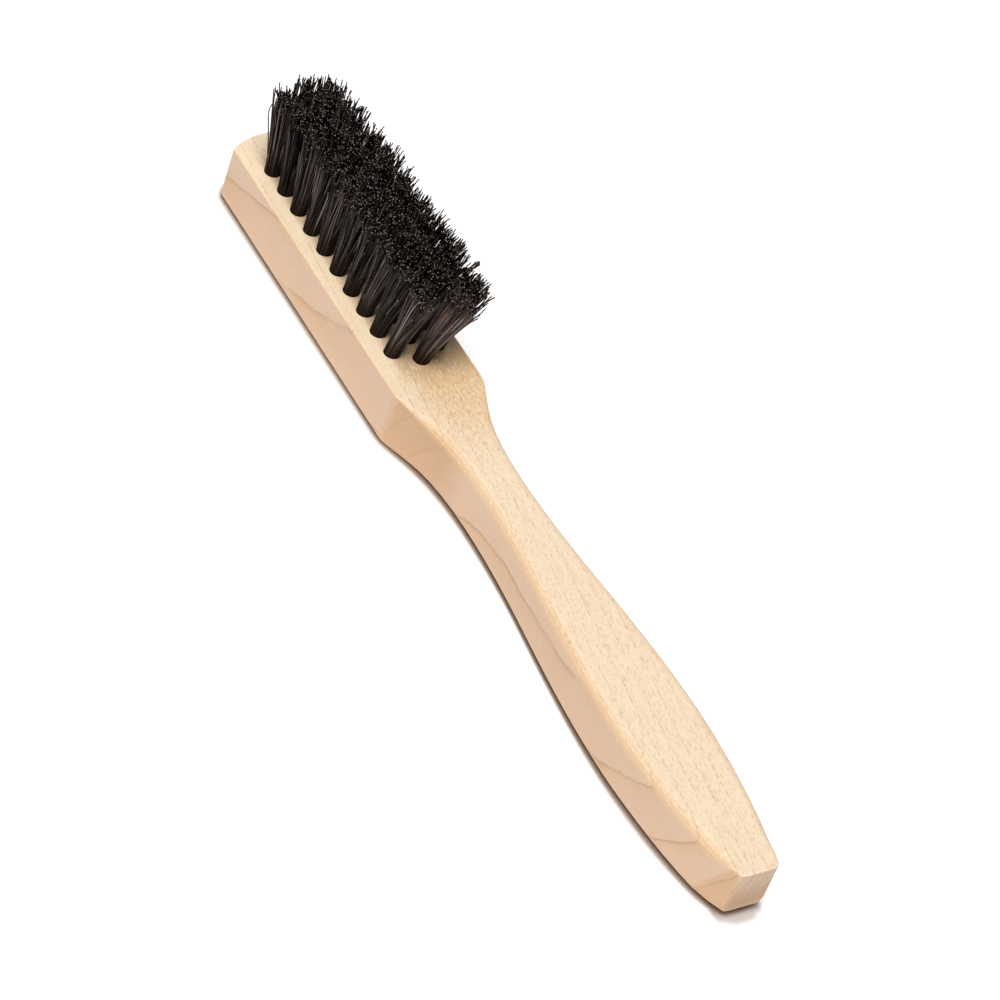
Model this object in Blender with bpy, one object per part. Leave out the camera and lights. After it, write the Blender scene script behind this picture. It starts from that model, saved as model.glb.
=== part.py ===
"""A spotting brush, for working cleaner into a stain on cloth.

One maple block is both the back of the brush and its handle. The head carries three staggered rows
of bristle tufts. Each tuft is a bundle doubled over a flat wire anchor, which is driven across the
bottom of a drilled hole and bites into the wood on both sides of it.

Metres, +Z up. The brush lies on its back on z = 0 with the bristles up. Its length runs along X from
the nose at -X to the end of the handle at +X, and the origin is below the middle of that length.
"""

import math
import random

import bmesh
import bpy
from mathutils import Vector
from mathutils.geometry import interpolate_bezier

# Clearance left between pieces that touch on the real brush
FIT_GAP = 0.0003

# Block, seen from above: lengths along X, widths along Y
LENGTH = 0.200
THICKNESS = 0.0128
HEAD_LENGTH = 0.0754
HEAD_WIDTH = 0.0204
NOSE_RISE = 0.0034
NECK_BEHIND_SHOULDER = 0.0260
NECK_WIDTH = 0.0106
BELLY_BEFORE_END = 0.0365
BELLY_WIDTH = 0.0191
END_WIDTH = 0.0083

# Block, corners of the outline and rounding of its upper and lower edges
NOSE_CORNER_RADIUS = 0.0008
SHOULDER_CORNER_RADIUS = 0.0040
END_CORNER_RADIUS = 0.0018
LEAST_CORNER_RADIUS = 0.0003
UPPER_EDGE_RADIUS = 0.0004
LOWER_NOSE_EDGE_RADIUS = 0.0010
LOWER_END_EDGE_RADIUS = 0.0038
HANDLE_EDGE_RADIUS = 0.0021
EDGE_RUN_IN = 0.012
END_RUN_IN = 0.008

# Handle curves: how far the handles of each Bezier span reach along it and across it
SHOULDER_REACH_SHARE = 0.23
SHOULDER_FALL_SHARE = 0.41
NECK_FRONT_SHARE = 0.55
NECK_BACK_SHARE = 0.36
BELLY_FRONT_SHARE = 0.40
BELLY_BACK_SHARE = 0.06
END_REACH_SHARE = 0.30
END_FALL_SHARE = 0.90

# Drilled holes
HOLE_DIAMETER = 0.0036
HOLE_DEPTH = 0.0085
NOSE_MARGIN = 0.0114
SHOULDER_MARGIN = 0.0109
SIDE_MARGIN = 0.0033

# Flat wire anchors, one across each hole
ANCHOR_THICKNESS = 0.0004
ANCHOR_HEIGHT = 0.0015
ANCHOR_BITE = 0.0005
FOLD_DEPTH = 0.0010

# Tufts
TRIM_HEIGHT = 0.0195
TRIM_UNEVENNESS = 0.0005
ROOT_STAND = 0.0010
WAIST_HEIGHT = 0.0035
UPRIGHT_BEFORE_MIDDLE = 0.0120
END_LEAN = 0.0048
SIDE_LEAN = 0.0012
STRAND_TIP_WIDTH = 0.00055
TIP_WANDER = 0.0002
WAIST_WIDTH_SHARE = 0.72
TIP_FILL_SHARE = 0.97

# Counts
OUTER_COLUMNS = 10
STRAND_RINGS = 2
NOSE_STEPS = 6
CORNER_STEPS = 4
HANDLE_STEPS = (9, 15, 12)
EDGE_STEPS = 4
HOLE_SIDES = 16
SMOOTH_ANGLE = math.radians(28)
SEED = 11

# Places worked out from the sizes above
NOSE_X = -LENGTH / 2
END_X = LENGTH / 2
SHOULDER_X = NOSE_X + HEAD_LENGTH
HEAD_HALF = HEAD_WIDTH / 2
NOSE_RADIUS = (HEAD_HALF**2 + NOSE_RISE**2) / (2 * NOSE_RISE)
ROW_SPACING = HEAD_HALF - SIDE_MARGIN - HOLE_DIAMETER / 2
FIRST_TUFT_X = NOSE_X + NOSE_MARGIN
LAST_TUFT_X = SHOULDER_X - SHOULDER_MARGIN
PITCH = (LAST_TUFT_X - FIRST_TUFT_X) / (OUTER_COLUMNS - 1)
UPRIGHT_X = (FIRST_TUFT_X + LAST_TUFT_X) / 2 - UPRIGHT_BEFORE_MIDDLE
ROOT_RADIUS = HOLE_DIAMETER / 2 - FIT_GAP
ROOT_FLOOR = FIT_GAP - HOLE_DEPTH
ANCHOR_FLOOR = ROOT_FLOOR + FOLD_DEPTH + FIT_GAP
ANCHOR_LENGTH = HOLE_DIAMETER + 2 * ANCHOR_BITE
LENGTHWISE_SPREAD = 1 + END_LEAN / (LAST_TUFT_X + PITCH / 2 - UPRIGHT_X)
SIDEWAYS_SPREAD = 1 + SIDE_LEAN / ROW_SPACING


def clear_scene():
    """Remove every object of the scene."""
    for obj in list(bpy.data.objects):
        bpy.data.objects.remove(obj, do_unlink=True)


def material(name, color, roughness, metallic=0.0):
    """A Principled material of one plain colour."""
    made = bpy.data.materials.new(name)
    made.use_nodes = True
    shader = made.node_tree.nodes["Principled BSDF"]
    shader.inputs["Base Color"].default_value = (*color, 1.0)
    shader.inputs["Roughness"].default_value = roughness
    shader.inputs["Metallic"].default_value = metallic
    made.diffuse_color = (*color, 1.0)
    return made


def new_object(name, mesh_builder, finish, place=(0, 0, 0), smooth=True):
    """An object whose mesh is what mesh_builder puts into an empty bmesh."""
    bm = bmesh.new()
    mesh_builder(bm)
    bmesh.ops.recalc_face_normals(bm, faces=bm.faces)
    mesh = bpy.data.meshes.new(name)
    bm.to_mesh(mesh)
    bm.free()
    if smooth:
        mesh.shade_smooth()
        mesh.set_sharp_from_angle(angle=SMOOTH_ANGLE)
    mesh.materials.append(finish)
    obj = bpy.data.objects.new(name, mesh)
    obj.location = place
    bpy.context.scene.collection.objects.link(obj)
    return obj


def as_cutter(obj, cutters):
    """Keep an object as a guide for Booleans only, in the collection of cutters."""
    obj.hide_render = True
    obj.display_type = "WIRE"
    bpy.context.scene.collection.objects.unlink(obj)
    cutters.objects.link(obj)


def eased_between(start, stop, share):
    """From start to stop along a smooth step, as share goes from 0 to 1."""
    share = min(max(share, 0.0), 1.0)
    return start + (stop - start) * share * share * (3 - 2 * share)


# Block

def nose_arc(inset):
    """The arc across the nose, from its apex to the corner at the side of the head, drawn in by the inset."""
    centre_x = NOSE_X + NOSE_RADIUS
    radius = NOSE_RADIUS - inset
    sweep = math.asin((HEAD_HALF - inset) / radius)
    angles = [sweep * step / NOSE_STEPS for step in range(NOSE_STEPS + 1)]
    return [Vector((centre_x - radius * math.cos(a), radius * math.sin(a))) for a in angles]


def handle_curve():
    """One side of the handle: three Bezier spans, from the shoulder by the neck and belly to the end."""
    shoulder = Vector((SHOULDER_X, HEAD_HALF))
    neck = Vector((SHOULDER_X + NECK_BEHIND_SHOULDER, NECK_WIDTH / 2))
    belly = Vector((END_X - BELLY_BEFORE_END, BELLY_WIDTH / 2))
    end = Vector((END_X, END_WIDTH / 2))
    fall, swell, close = neck - shoulder, belly - neck, end - belly
    spans = (
        (
            shoulder,
            shoulder + Vector((SHOULDER_REACH_SHARE * fall.x, SHOULDER_FALL_SHARE * fall.y)),
            neck - Vector((NECK_FRONT_SHARE * fall.x, 0)),
            neck,
        ),
        (
            neck,
            neck + Vector((NECK_BACK_SHARE * swell.x, 0)),
            belly - Vector((BELLY_FRONT_SHARE * swell.x, 0)),
            belly,
        ),
        (
            belly,
            belly + Vector((BELLY_BACK_SHARE * close.x, 0)),
            end - Vector((END_REACH_SHARE * close.x, END_FALL_SHARE * close.y)),
            end,
        ),
    )
    points = [shoulder]
    for span, steps in zip(spans, HANDLE_STEPS):
        points += [point.to_2d() for point in interpolate_bezier(*span, steps)][1:]
    return points


def edge_radius(x, nose_radius, end_radius):
    """Rounding of an edge at x: the nose's up to the shoulder, the handle's, and that of the end cut."""
    if x > END_X - END_RUN_IN:
        return eased_between(end_radius, HANDLE_EDGE_RADIUS, (END_X - x) / END_RUN_IN)
    return eased_between(nose_radius, HANDLE_EDGE_RADIUS, (x - SHOULDER_X) / EDGE_RUN_IN)


def half_width_and_slope(curve, x):
    """Half of the handle's width at x, and how fast it grows there."""
    stretches = list(zip(curve, curve[1:]))
    first, second = next((pair for pair in stretches if x < pair[1].x), stretches[-1])
    slope = (second.y - first.y) / (second.x - first.x)
    return first.y + slope * (x - first.x), slope


def drawn_in_handle(share, nose_radius, end_radius):
    """One side of the handle, drawn in by a share of the edge's rounding."""
    curve = handle_curve()
    length_share = 1 - share * end_radius / (END_X - SHOULDER_X)
    points = []
    for point in curve:
        x = SHOULDER_X + (point.x - SHOULDER_X) * length_share
        half, slope = half_width_and_slope(curve, x)
        inset = share * edge_radius(x, nose_radius, end_radius)
        points.append(Vector((x, half - inset * math.hypot(1, slope))))
    return points


def rounded_corner(before, corner, after, radius):
    """Points of the arc that rounds the corner between two straight stretches."""
    back = (before - corner).normalized()
    ahead = (after - corner).normalized()
    half_turn = (math.pi - back.angle(ahead)) / 2
    centre_way = (back + ahead).normalized()
    centre = corner + centre_way * radius / math.cos(half_turn)
    start = corner + back * radius * math.tan(half_turn)
    turn = 2 * half_turn if (start - centre).cross(ahead) > 0 else -2 * half_turn
    arm = start - centre
    points = []
    for step in range(CORNER_STEPS + 1):
        angle = turn * step / CORNER_STEPS
        across = Vector((-arm.y, arm.x))
        points.append(centre + arm * math.cos(angle) + across * math.sin(angle))
    return points


def half_outline(share, nose_radius, end_radius):
    """The outline's +Y half at one level, from the nose's apex to the handle's end cut."""
    nose_inset = share * nose_radius
    nose = nose_arc(nose_inset)
    handle = drawn_in_handle(share, nose_radius, end_radius)
    end_middle = Vector((handle[-1].x, 0))
    nose_corner = max(NOSE_CORNER_RADIUS - nose_inset, LEAST_CORNER_RADIUS)
    shoulder_corner = SHOULDER_CORNER_RADIUS - nose_inset
    end_corner = max(END_CORNER_RADIUS - share * end_radius, LEAST_CORNER_RADIUS)
    outline = nose[:-1]
    outline += rounded_corner(nose[-2], nose[-1], handle[0], nose_corner)
    outline += rounded_corner(nose[-1], handle[0], handle[1], shoulder_corner)
    outline += handle[1:-1]
    outline += rounded_corner(handle[-2], handle[-1], end_middle, end_corner)
    return outline


def block_mesh(bm):
    """Outlines drawn in at the bottom and at the top by a rounded profile, and joined from level to level."""
    quarter = [math.pi / 2 * step / EDGE_STEPS for step in range(EDGE_STEPS + 1)]
    levels = [(angle, LOWER_NOSE_EDGE_RADIUS, LOWER_END_EDGE_RADIUS, False) for angle in quarter]
    levels += [(angle, UPPER_EDGE_RADIUS, UPPER_EDGE_RADIUS, True) for angle in reversed(quarter)]
    rings = []
    for angle, nose_radius, end_radius, upper in levels:
        half = half_outline(1 - math.sin(angle), nose_radius, end_radius)
        outline = [Vector((point.x, -point.y)) for point in half] + half[:0:-1]
        ring = []
        for point in outline:
            rise = edge_radius(point.x, nose_radius, end_radius) * (1 - math.cos(angle))
            ring.append(bm.verts.new((*point, THICKNESS - rise if upper else rise)))
        rings.append(ring)
    for below, above in zip(rings, rings[1:]):
        for here in range(len(below)):
            after = (here + 1) % len(below)
            bm.faces.new((below[here], below[after], above[after], above[here]))
    bm.faces.new(rings[-1])
    bm.faces.new(list(reversed(rings[0])))


# Holes, anchors and tufts

def tuft_places():
    """(row name, number, x, y) of each tuft: the middle row is shifted by half a pitch and has one more."""
    rows = (
        ("left", -ROW_SPACING, FIRST_TUFT_X, OUTER_COLUMNS),
        ("middle", 0.0, FIRST_TUFT_X - PITCH / 2, OUTER_COLUMNS + 1),
        ("right", ROW_SPACING, FIRST_TUFT_X, OUTER_COLUMNS),
    )
    for row, y, first_x, count in rows:
        for column in range(count):
            yield row, column + 1, first_x + column * PITCH, y


def box_mesh(bm, size_x, size_y, low, high):
    """A box centred on the Z axis, from z = low to z = high."""
    bmesh.ops.create_cube(bm, size=1)
    for vert in bm.verts:
        vert.co.x *= size_x
        vert.co.y *= size_y
        vert.co.z = high if vert.co.z > 0 else low


def hole_mesh(bm):
    """The drill's shape, from the hole's floor to a gap above the wood."""
    bmesh.ops.create_circle(bm, cap_ends=True, segments=HOLE_SIDES, radius=HOLE_DIAMETER / 2)
    bmesh.ops.translate(bm, verts=bm.verts, vec=(0, 0, -HOLE_DEPTH))
    raised = bmesh.ops.extrude_face_region(bm, geom=list(bm.faces))["geom"]
    tops = [part for part in raised if isinstance(part, bmesh.types.BMVert)]
    bmesh.ops.translate(bm, verts=tops, vec=(0, 0, HOLE_DEPTH + FIT_GAP))


def anchor_mesh(bm):
    """A short flat wire, standing on its edge across the hole."""
    box_mesh(bm, ANCHOR_THICKNESS, ANCHOR_LENGTH, ANCHOR_FLOOR, ANCHOR_FLOOR + ANCHOR_HEIGHT)


def anchor_room_mesh(bm):
    """The anchor's room in the wood and in the fold of the tuft: its own shape and the clearance."""
    grown = 2 * FIT_GAP
    low = ANCHOR_FLOOR - FIT_GAP
    high = ANCHOR_FLOOR + ANCHOR_HEIGHT + FIT_GAP
    box_mesh(bm, ANCHOR_THICKNESS + grown, ANCHOR_LENGTH + grown, low, high)


def hexagon_cells():
    """Corners of the lattice triangles in a hexagon: those that grow a strand, and those between them."""
    def inside(corners):
        return all(max(abs(q), abs(r), abs(q + r)) <= STRAND_RINGS for q, r in corners)

    span = range(-STRAND_RINGS, STRAND_RINGS + 1)
    growing = [((q, r), (q + 1, r), (q, r + 1)) for q in span for r in span]
    between = [((q + 1, r), (q + 1, r + 1), (q, r + 1)) for q in span for r in span]
    return list(filter(inside, growing)), list(filter(inside, between))


def disc_point(q, r):
    """A lattice point moved out so that the hexagon fills the round root, one facet facing each anchor end."""
    way = Vector((q + r / 2, r * math.sqrt(3) / 2))
    ring = max(abs(q), abs(r), abs(q + r))
    if not ring:
        return way
    facet_turn = math.pi / (6 * STRAND_RINGS)
    angle = math.atan2(way.y, way.x) + facet_turn
    radius = ROOT_RADIUS * ring / STRAND_RINGS
    return Vector((radius * math.cos(angle), radius * math.sin(angle)))


def tip_reach():
    """How far from its tuft's middle the tip of the outermost lattice ring may stand."""
    along = PITCH * LENGTHWISE_SPREAD
    across = math.hypot(along / 2, ROW_SPACING * SIDEWAYS_SPREAD)
    return TIP_FILL_SHARE * min(along, across) / 2


def lean_of(x, y):
    """How far the tips of the tuft at x, y stand outwards of its hole, as the whole field spreads."""
    return Vector(((x - UPRIGHT_X) * (LENGTHWISE_SPREAD - 1), y * (SIDEWAYS_SPREAD - 1)))


def strand_rings(face, lean, chance):
    """Where the three corners of a root triangle go at the waist of its strand, and at its cut tip."""
    corners = [vert.co.copy() for vert in face.verts]
    base = sum(corners, Vector()) / len(corners)
    wander = Vector((chance.uniform(-1, 1), chance.uniform(-1, 1))) * TIP_WANDER
    flare = tip_reach() / ROOT_RADIUS
    height = TRIM_HEIGHT + TRIM_UNEVENNESS * chance.uniform(-1, 1)
    tip = Vector((*(base.to_2d() * flare + lean + wander), height))
    waist = base.lerp(tip, (WAIST_HEIGHT - ROOT_STAND) / (height - ROOT_STAND))
    tip_radius = STRAND_TIP_WIDTH / math.sqrt(3)
    return (
        [waist + (corner - base) * WAIST_WIDTH_SHARE for corner in corners],
        [tip + (corner - base).normalized() * tip_radius for corner in corners],
    )


def tuft_mesh(bm, lean, chance):
    """A round root, from the fold at its foot to its top face, and the strands that grow from that face."""
    growing, between = hexagon_cells()
    tops = {}
    for corners in growing + between:
        for corner in corners:
            if corner not in tops:
                tops[corner] = bm.verts.new((*disc_point(*corner), ROOT_STAND))
    for corners in between:
        bm.faces.new([tops[corner] for corner in corners])
    cells = [bm.faces.new([tops[corner] for corner in corners]) for corners in growing]
    rim = [tops[corner] for corner in tops if max(map(abs, (*corner, sum(corner)))) == STRAND_RINGS]
    rim.sort(key=lambda vert: math.atan2(vert.co.y, vert.co.x))
    foot = [bm.verts.new((vert.co.x, vert.co.y, ROOT_FLOOR)) for vert in rim]
    bm.faces.new(list(reversed(foot)))
    for here in range(len(rim)):
        after = (here + 1) % len(rim)
        bm.faces.new((foot[here], foot[after], rim[after], rim[here]))
    for cell in cells:
        for ring in strand_rings(cell, lean, chance):
            raised = bmesh.ops.extrude_discrete_faces(bm, faces=[cell])["faces"]
            cell = raised[0]
            for vert, place in zip(cell.verts, ring):
                vert.co = place


def add_boolean(obj, name, operation, other):
    """Cut or join another object, or every object of a collection, with the exact solver."""
    modifier = obj.modifiers.new(name, "BOOLEAN")
    modifier.operation = operation
    modifier.solver = "EXACT"
    if isinstance(other, bpy.types.Collection):
        modifier.operand_type = "COLLECTION"
        modifier.collection = other
    else:
        modifier.object = other


def build():
    """Build the block, then for each hole its drill, its tuft and its anchor."""
    clear_scene()
    maple = material("Maple", (0.80, 0.61, 0.40), 0.55)
    bristle = material("Bristle", (0.020, 0.014, 0.011), 0.42)
    wire = material("Anchor_wire", (0.62, 0.60, 0.57), 0.35, metallic=1.0)
    cutters = bpy.data.collections.new("cutters")
    bpy.context.scene.collection.children.link(cutters)

    block = new_object("block", block_mesh, maple)
    chance = random.Random(SEED)
    for row, number, x, y in tuft_places():
        label = f"{row}_{number:02d}"
        place = (x, y, THICKNESS)
        lean = lean_of(x, y)
        tuft = new_object(
            f"tuft_{label}", lambda bm: tuft_mesh(bm, lean, chance), bristle, place, smooth=False
        )
        anchor = new_object(f"anchor_{label}", anchor_mesh, wire, place, smooth=False)
        room = new_object(f"room_{label}", anchor_room_mesh, maple, place, smooth=False)
        drill = new_object(f"drill_{label}", hole_mesh, maple, place)
        as_cutter(room, cutters)
        as_cutter(drill, cutters)
        if row == "middle":
            # The middle row's anchors are made in one piece with their tufts.
            add_boolean(tuft, "anchor", "UNION", anchor)
            anchor.hide_render = True
            anchor.display_type = "WIRE"
        else:
            add_boolean(tuft, "anchor room", "DIFFERENCE", room)
    add_boolean(block, "holes", "DIFFERENCE", cutters)


build()
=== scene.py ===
"""Looks of the spotting brush: maple grain, full bristle tufts and a plain studio.

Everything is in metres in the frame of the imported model: the brush lies on its back on z = 0 with
the bristles up, and its length runs along X from the nose at -X to the end of the handle at +X.
"""

import logging
import math
from dataclasses import dataclass
from enum import Enum

import bpy
import numpy as np
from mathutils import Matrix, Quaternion, Vector


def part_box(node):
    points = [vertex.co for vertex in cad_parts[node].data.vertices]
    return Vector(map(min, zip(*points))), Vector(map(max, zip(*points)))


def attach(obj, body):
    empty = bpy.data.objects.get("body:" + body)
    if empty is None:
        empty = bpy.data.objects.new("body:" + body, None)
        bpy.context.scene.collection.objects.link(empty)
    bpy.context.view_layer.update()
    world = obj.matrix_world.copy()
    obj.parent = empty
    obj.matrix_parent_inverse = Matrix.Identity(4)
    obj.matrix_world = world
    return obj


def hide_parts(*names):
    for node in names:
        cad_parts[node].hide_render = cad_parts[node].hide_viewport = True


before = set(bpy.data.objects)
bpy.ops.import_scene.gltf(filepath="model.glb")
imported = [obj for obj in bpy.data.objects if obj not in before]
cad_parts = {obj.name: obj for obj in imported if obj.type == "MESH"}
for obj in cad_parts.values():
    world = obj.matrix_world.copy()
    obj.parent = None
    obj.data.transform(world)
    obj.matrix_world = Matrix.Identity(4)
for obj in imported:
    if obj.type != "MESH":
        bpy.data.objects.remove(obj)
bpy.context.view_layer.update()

MM = 0.001
GOLDEN_ANGLE = math.pi * (3 - math.sqrt(5))
BODY = "root"
Color = tuple[float, float, float]
Triple = tuple[float, float, float]
Span = tuple[float, float]
Stops = tuple[tuple[float, float], ...]

log = logging.getLogger("spotting_brush")


class Slot(Enum):
    """The record's material slots for the bristles and the anchor wires."""

    BRISTLE = "bristle"
    ANCHOR_WIRE = "anchor_wire"


class Row(Enum):
    """The rows of tufts, with the number of tufts in each."""

    LEFT = ("left", 10)
    MIDDLE = ("middle", 11)
    RIGHT = ("right", 10)

    def label(self, number: int) -> str:
        """Name ending of one tuft and its anchor."""
        return f"{self.value[0]}_{number:02d}"

    @property
    def count(self) -> int:
        """Number of tufts in the row."""
        return self.value[1]


class Channel:
    """One output socket of a shader graph, with the arithmetic that the finishes use."""

    def __init__(self, graph: "Graph", socket: bpy.types.NodeSocket) -> None:
        """Keep the graph that new nodes go into, and the socket."""
        self.graph = graph
        self.socket = socket

    def __add__(self, other: "Channel | float") -> "Channel":
        """Sum of two values."""
        return self.graph.maths("ADD", self, other)

    def __sub__(self, other: "Channel | float") -> "Channel":
        """Difference of two values."""
        return self.graph.maths("SUBTRACT", self, other)

    def __rsub__(self, other: float) -> "Channel":
        """Difference of a number and this value."""
        return self.graph.maths("SUBTRACT", other, self)

    def __mul__(self, other: "Channel | float") -> "Channel":
        """Product of two values."""
        return self.graph.maths("MULTIPLY", self, other)

    def __truediv__(self, other: "Channel | float") -> "Channel":
        """Quotient of two values."""
        return self.graph.maths("DIVIDE", self, other)

    def __rtruediv__(self, other: float) -> "Channel":
        """Quotient of a number and this value."""
        return self.graph.maths("DIVIDE", other, self)

    def __abs__(self) -> "Channel":
        """This value without its sign."""
        return self.graph.maths("ABSOLUTE", self)

    def spanning(self, first: float, last: float) -> "Channel":
        """Go from the first number to the last, as this value goes from 0 to 1."""
        return self * (last - first) + first

    def eased(self, start: "Channel | float", end: float) -> "Channel":
        """Go from 0 to 1 along a smooth step, as this value goes from the start to the end.

        Args:
            start: where the step starts.
            end: where the step ends, which may be below the start.

        Returns:
            The share, from 0 to 1.
        """
        settings = {"interpolation_type": "SMOOTHSTEP"}
        sockets = {"Value": self, "From Min": start, "From Max": end}
        return self.graph.node("ShaderNodeMapRange", settings, sockets)

    __radd__ = __add__
    __rmul__ = __mul__


class Graph:
    """The node tree of one material or world."""

    def __init__(
        self, owner: bpy.types.Material | bpy.types.World, shader: str = "Principled BSDF"
    ) -> None:
        """Turn on the nodes of a new material or world.

        Args:
            owner: the material or world.
            shader: name of the shader node that it starts with.
        """
        owner.use_nodes = True
        self.owner = owner
        self.tree = owner.node_tree
        self.shader = self.tree.nodes[shader]

    def node(
        self,
        kind: str,
        settings: dict[str, object] | None = None,
        sockets: dict[int | str, object] | None = None,
        output: int | str = 0,
    ) -> Channel:
        """Add one node.

        Args:
            kind: type name of the node.
            settings: its own properties, set first; "stops" are the stops of a ramp.
            sockets: values or channels for its inputs, by name or number.
            output: name or number of the output to return.

        Returns:
            The chosen output.
        """
        made = self.tree.nodes.new(kind)
        for name, value in (settings or {}).items():
            if name == "stops":
                self.set_stops(made.color_ramp, value)
            else:
                setattr(made, name, value)
        for name, value in (sockets or {}).items():
            self.feed(made.inputs[name], value)
        return Channel(self, made.outputs[output])

    def feed(self, target: bpy.types.NodeSocket, value: object) -> None:
        """Link a channel to an input, or set the input's own value.

        Args:
            target: the input.
            value: a channel, a number, a vector or a colour.
        """
        if isinstance(value, Channel):
            self.tree.links.new(value.socket, target)
        elif target.type == "RGBA":
            target.default_value = (*value, 1.0)
        else:
            target.default_value = value

    @staticmethod
    def set_stops(ramp: bpy.types.ColorRamp, stops: Stops) -> None:
        """Give a ramp its stops.

        Args:
            ramp: the ramp of a new node.
            stops: place and grey level of each stop, in order.
        """
        while len(ramp.elements) < len(stops):
            ramp.elements.new(1.0)
        for element, (place, level) in zip(ramp.elements, stops):
            element.position = place
            element.color = (level, level, level, 1.0)

    def maths(self, operation: str, *values: Channel | float) -> Channel:
        """One Math node."""
        return self.node("ShaderNodeMath", {"operation": operation}, dict(enumerate(values)))

    def curve(self, value: Channel, stops: Stops) -> Channel:
        """Read a value off a ramp of straight stretches.

        Args:
            value: from 0 to 1.
            stops: place and level of each corner.

        Returns:
            The level at that value.
        """
        return self.node("ShaderNodeValToRGB", {"stops": stops}, {0: value})

    def place_mm(self) -> Channel:
        """The surface's place on the resting brush, in millimetres."""
        place = self.node("ShaderNodeTexCoord", output="Object")
        return self.stretch(place, (1 / MM, 1 / MM, 1 / MM))

    def stretch(self, vector: Channel, scale: Triple) -> Channel:
        """Scale each component of a vector."""
        return self.node("ShaderNodeVectorMath", {"operation": "MULTIPLY"}, {0: vector, 1: scale})

    def split(self, vector: Channel) -> tuple[Channel, Channel, Channel]:
        """The three components of a vector."""
        parts = self.node("ShaderNodeSeparateXYZ", sockets={0: vector}).socket.node
        return tuple(Channel(self, parts.outputs[axis]) for axis in range(3))

    def joined(self, x: object, y: object, z: object) -> Channel:
        """A vector of three values."""
        return self.node("ShaderNodeCombineXYZ", sockets={0: x, 1: y, 2: z})

    def noise(
        self, vector: Channel, scale: float = 1.0, detail: float = 2.0, rough: float = 0.5
    ) -> Channel:
        """Smooth noise, about 0.5 in the middle.

        Args:
            vector: place to read it at.
            scale: waves for each unit of that place.
            detail: octaves.
            rough: share of each finer octave.

        Returns:
            A value from 0 to 1.
        """
        sockets = {"Vector": vector, "Scale": scale, "Detail": detail, "Roughness": rough}
        return self.node("ShaderNodeTexNoise", sockets=sockets)

    def blend(self, share: object, first: object, second: object, way: str = "MIX") -> Channel:
        """Mix two colours.

        Args:
            share: how much of the second colour shows, from 0 to 1.
            first: colour at 0.
            second: colour at 1.
            way: blend type of the Mix node.

        Returns:
            The mixed colour.
        """
        settings = {"data_type": "RGBA", "blend_type": way}
        return self.node("ShaderNodeMix", settings, {0: share, 6: first, 7: second}, output=2)

    def attribute(self, name: str) -> Channel:
        """A number that the mesh carries for each of its points."""
        return self.node("ShaderNodeAttribute", {"attribute_name": name}, output="Fac")

    def bump(self, height: Channel, depth: float, strength: float) -> Channel:
        """Turn a height into a normal.

        Args:
            height: from 0 to 1.
            depth: what 1 stands for, in metres.
            strength: share of the effect.

        Returns:
            The normal.
        """
        sockets = {"Strength": strength, "Distance": depth, "Height": height}
        return self.node("ShaderNodeBump", sockets=sockets)

    def shade(self, **sockets: object) -> bpy.types.Material | bpy.types.World:
        """Feed the shader and hand over what it belongs to.

        Args:
            sockets: values or channels, by input name with _ for a space.

        Returns:
            The finished material or world.
        """
        for name, value in sockets.items():
            self.feed(self.shader.inputs[name.replace("_", " ")], value)
        return self.owner


@dataclass(frozen=True)
class Zone:
    """A zone that fades in over one span of a value and out over another."""

    rise: Span
    fall: Span

    def share(self, value: Channel) -> Channel:
        """How much of the zone there is at a value, from 0 to 1."""
        return value.eased(*self.rise) * value.eased(*self.fall)


@dataclass(frozen=True)
class GrowthRings:
    """Layers of the wood that stand on edge, lean a little, and drift across the width.

    So they show as fine lines along the upper face, as long arcs on the sides and as steep lines on
    the end grain.
    """

    drift: float = 0.10
    lean: float = 0.24
    bow_mm: float = 1.5
    bow_span_mm: Span = (20.0, 70.0)
    wander_scale: Triple = (0.05, 0.10, 0.10)
    wander_mm: float = 1.2
    wobble_scale: float = 0.45
    wobble_mm: float = 0.30
    places_mm: tuple[float, ...] = (
        -24.5, -21.0, -17.4, -13.4, -10.2, -5.8, -2.6, 0.6, 3.8, 6.8, 10.0, 13.2, 16.4,
    )
    line_stops: Stops = (
        (0.0, 1.0), (0.022, 0.85), (0.055, 0.25), (0.09, 0.0), (0.985, 0.0), (1.0, 0.9),
    )
    tail_stops: Stops = (
        (0.0, 1.0), (0.18, 0.55), (0.45, 0.12), (0.8, 0.0), (0.99, 0.0), (1.0, 1.0),
    )

    def depth(self, graph: Graph, place: Channel) -> Channel:
        """Distance across the growth rings, in millimetres.

        Args:
            graph: the material's graph.
            place: place on the block, in millimetres.

        Returns:
            The distance, with the rings' own wander.
        """
        x, y, z = graph.split(place)
        bow = x.eased(*self.bow_span_mm) * self.bow_mm
        wander = graph.noise(graph.stretch(place, self.wander_scale), detail=1.0) - 0.5
        wobble = graph.noise(place, self.wobble_scale, detail=3.0) - 0.5
        straight = y + x * self.drift - z * self.lean
        return straight + bow + wander * self.wander_mm + wobble * self.wobble_mm

    def phase(self, graph: Graph, depth: Channel) -> Channel:
        """How far through its growth ring the wood is.

        Args:
            graph: the material's graph.
            depth: distance across the rings, in millimetres.

        Returns:
            From 0, at a ring's dark line, to 1, at the next one.
        """
        low, high = self.places_mm[0], self.places_mm[-1]
        last = len(self.places_mm) - 1
        stops = tuple(
            ((place - low) / (high - low), number / last)
            for number, place in enumerate(self.places_mm)
        )
        number = graph.curve((depth - low) / (high - low), stops) * float(last)
        return graph.maths("FRACT", number)


@dataclass(frozen=True)
class BlockPoint:
    """The shaded point of the block: its place in millimetres, and the kinds of face it is on."""

    place: Channel
    x: Channel
    y: Channel
    z: Channel
    flat: Channel
    upright: Channel
    end: Channel
    rounding: Channel
    end_rim_highlight: Channel


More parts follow.
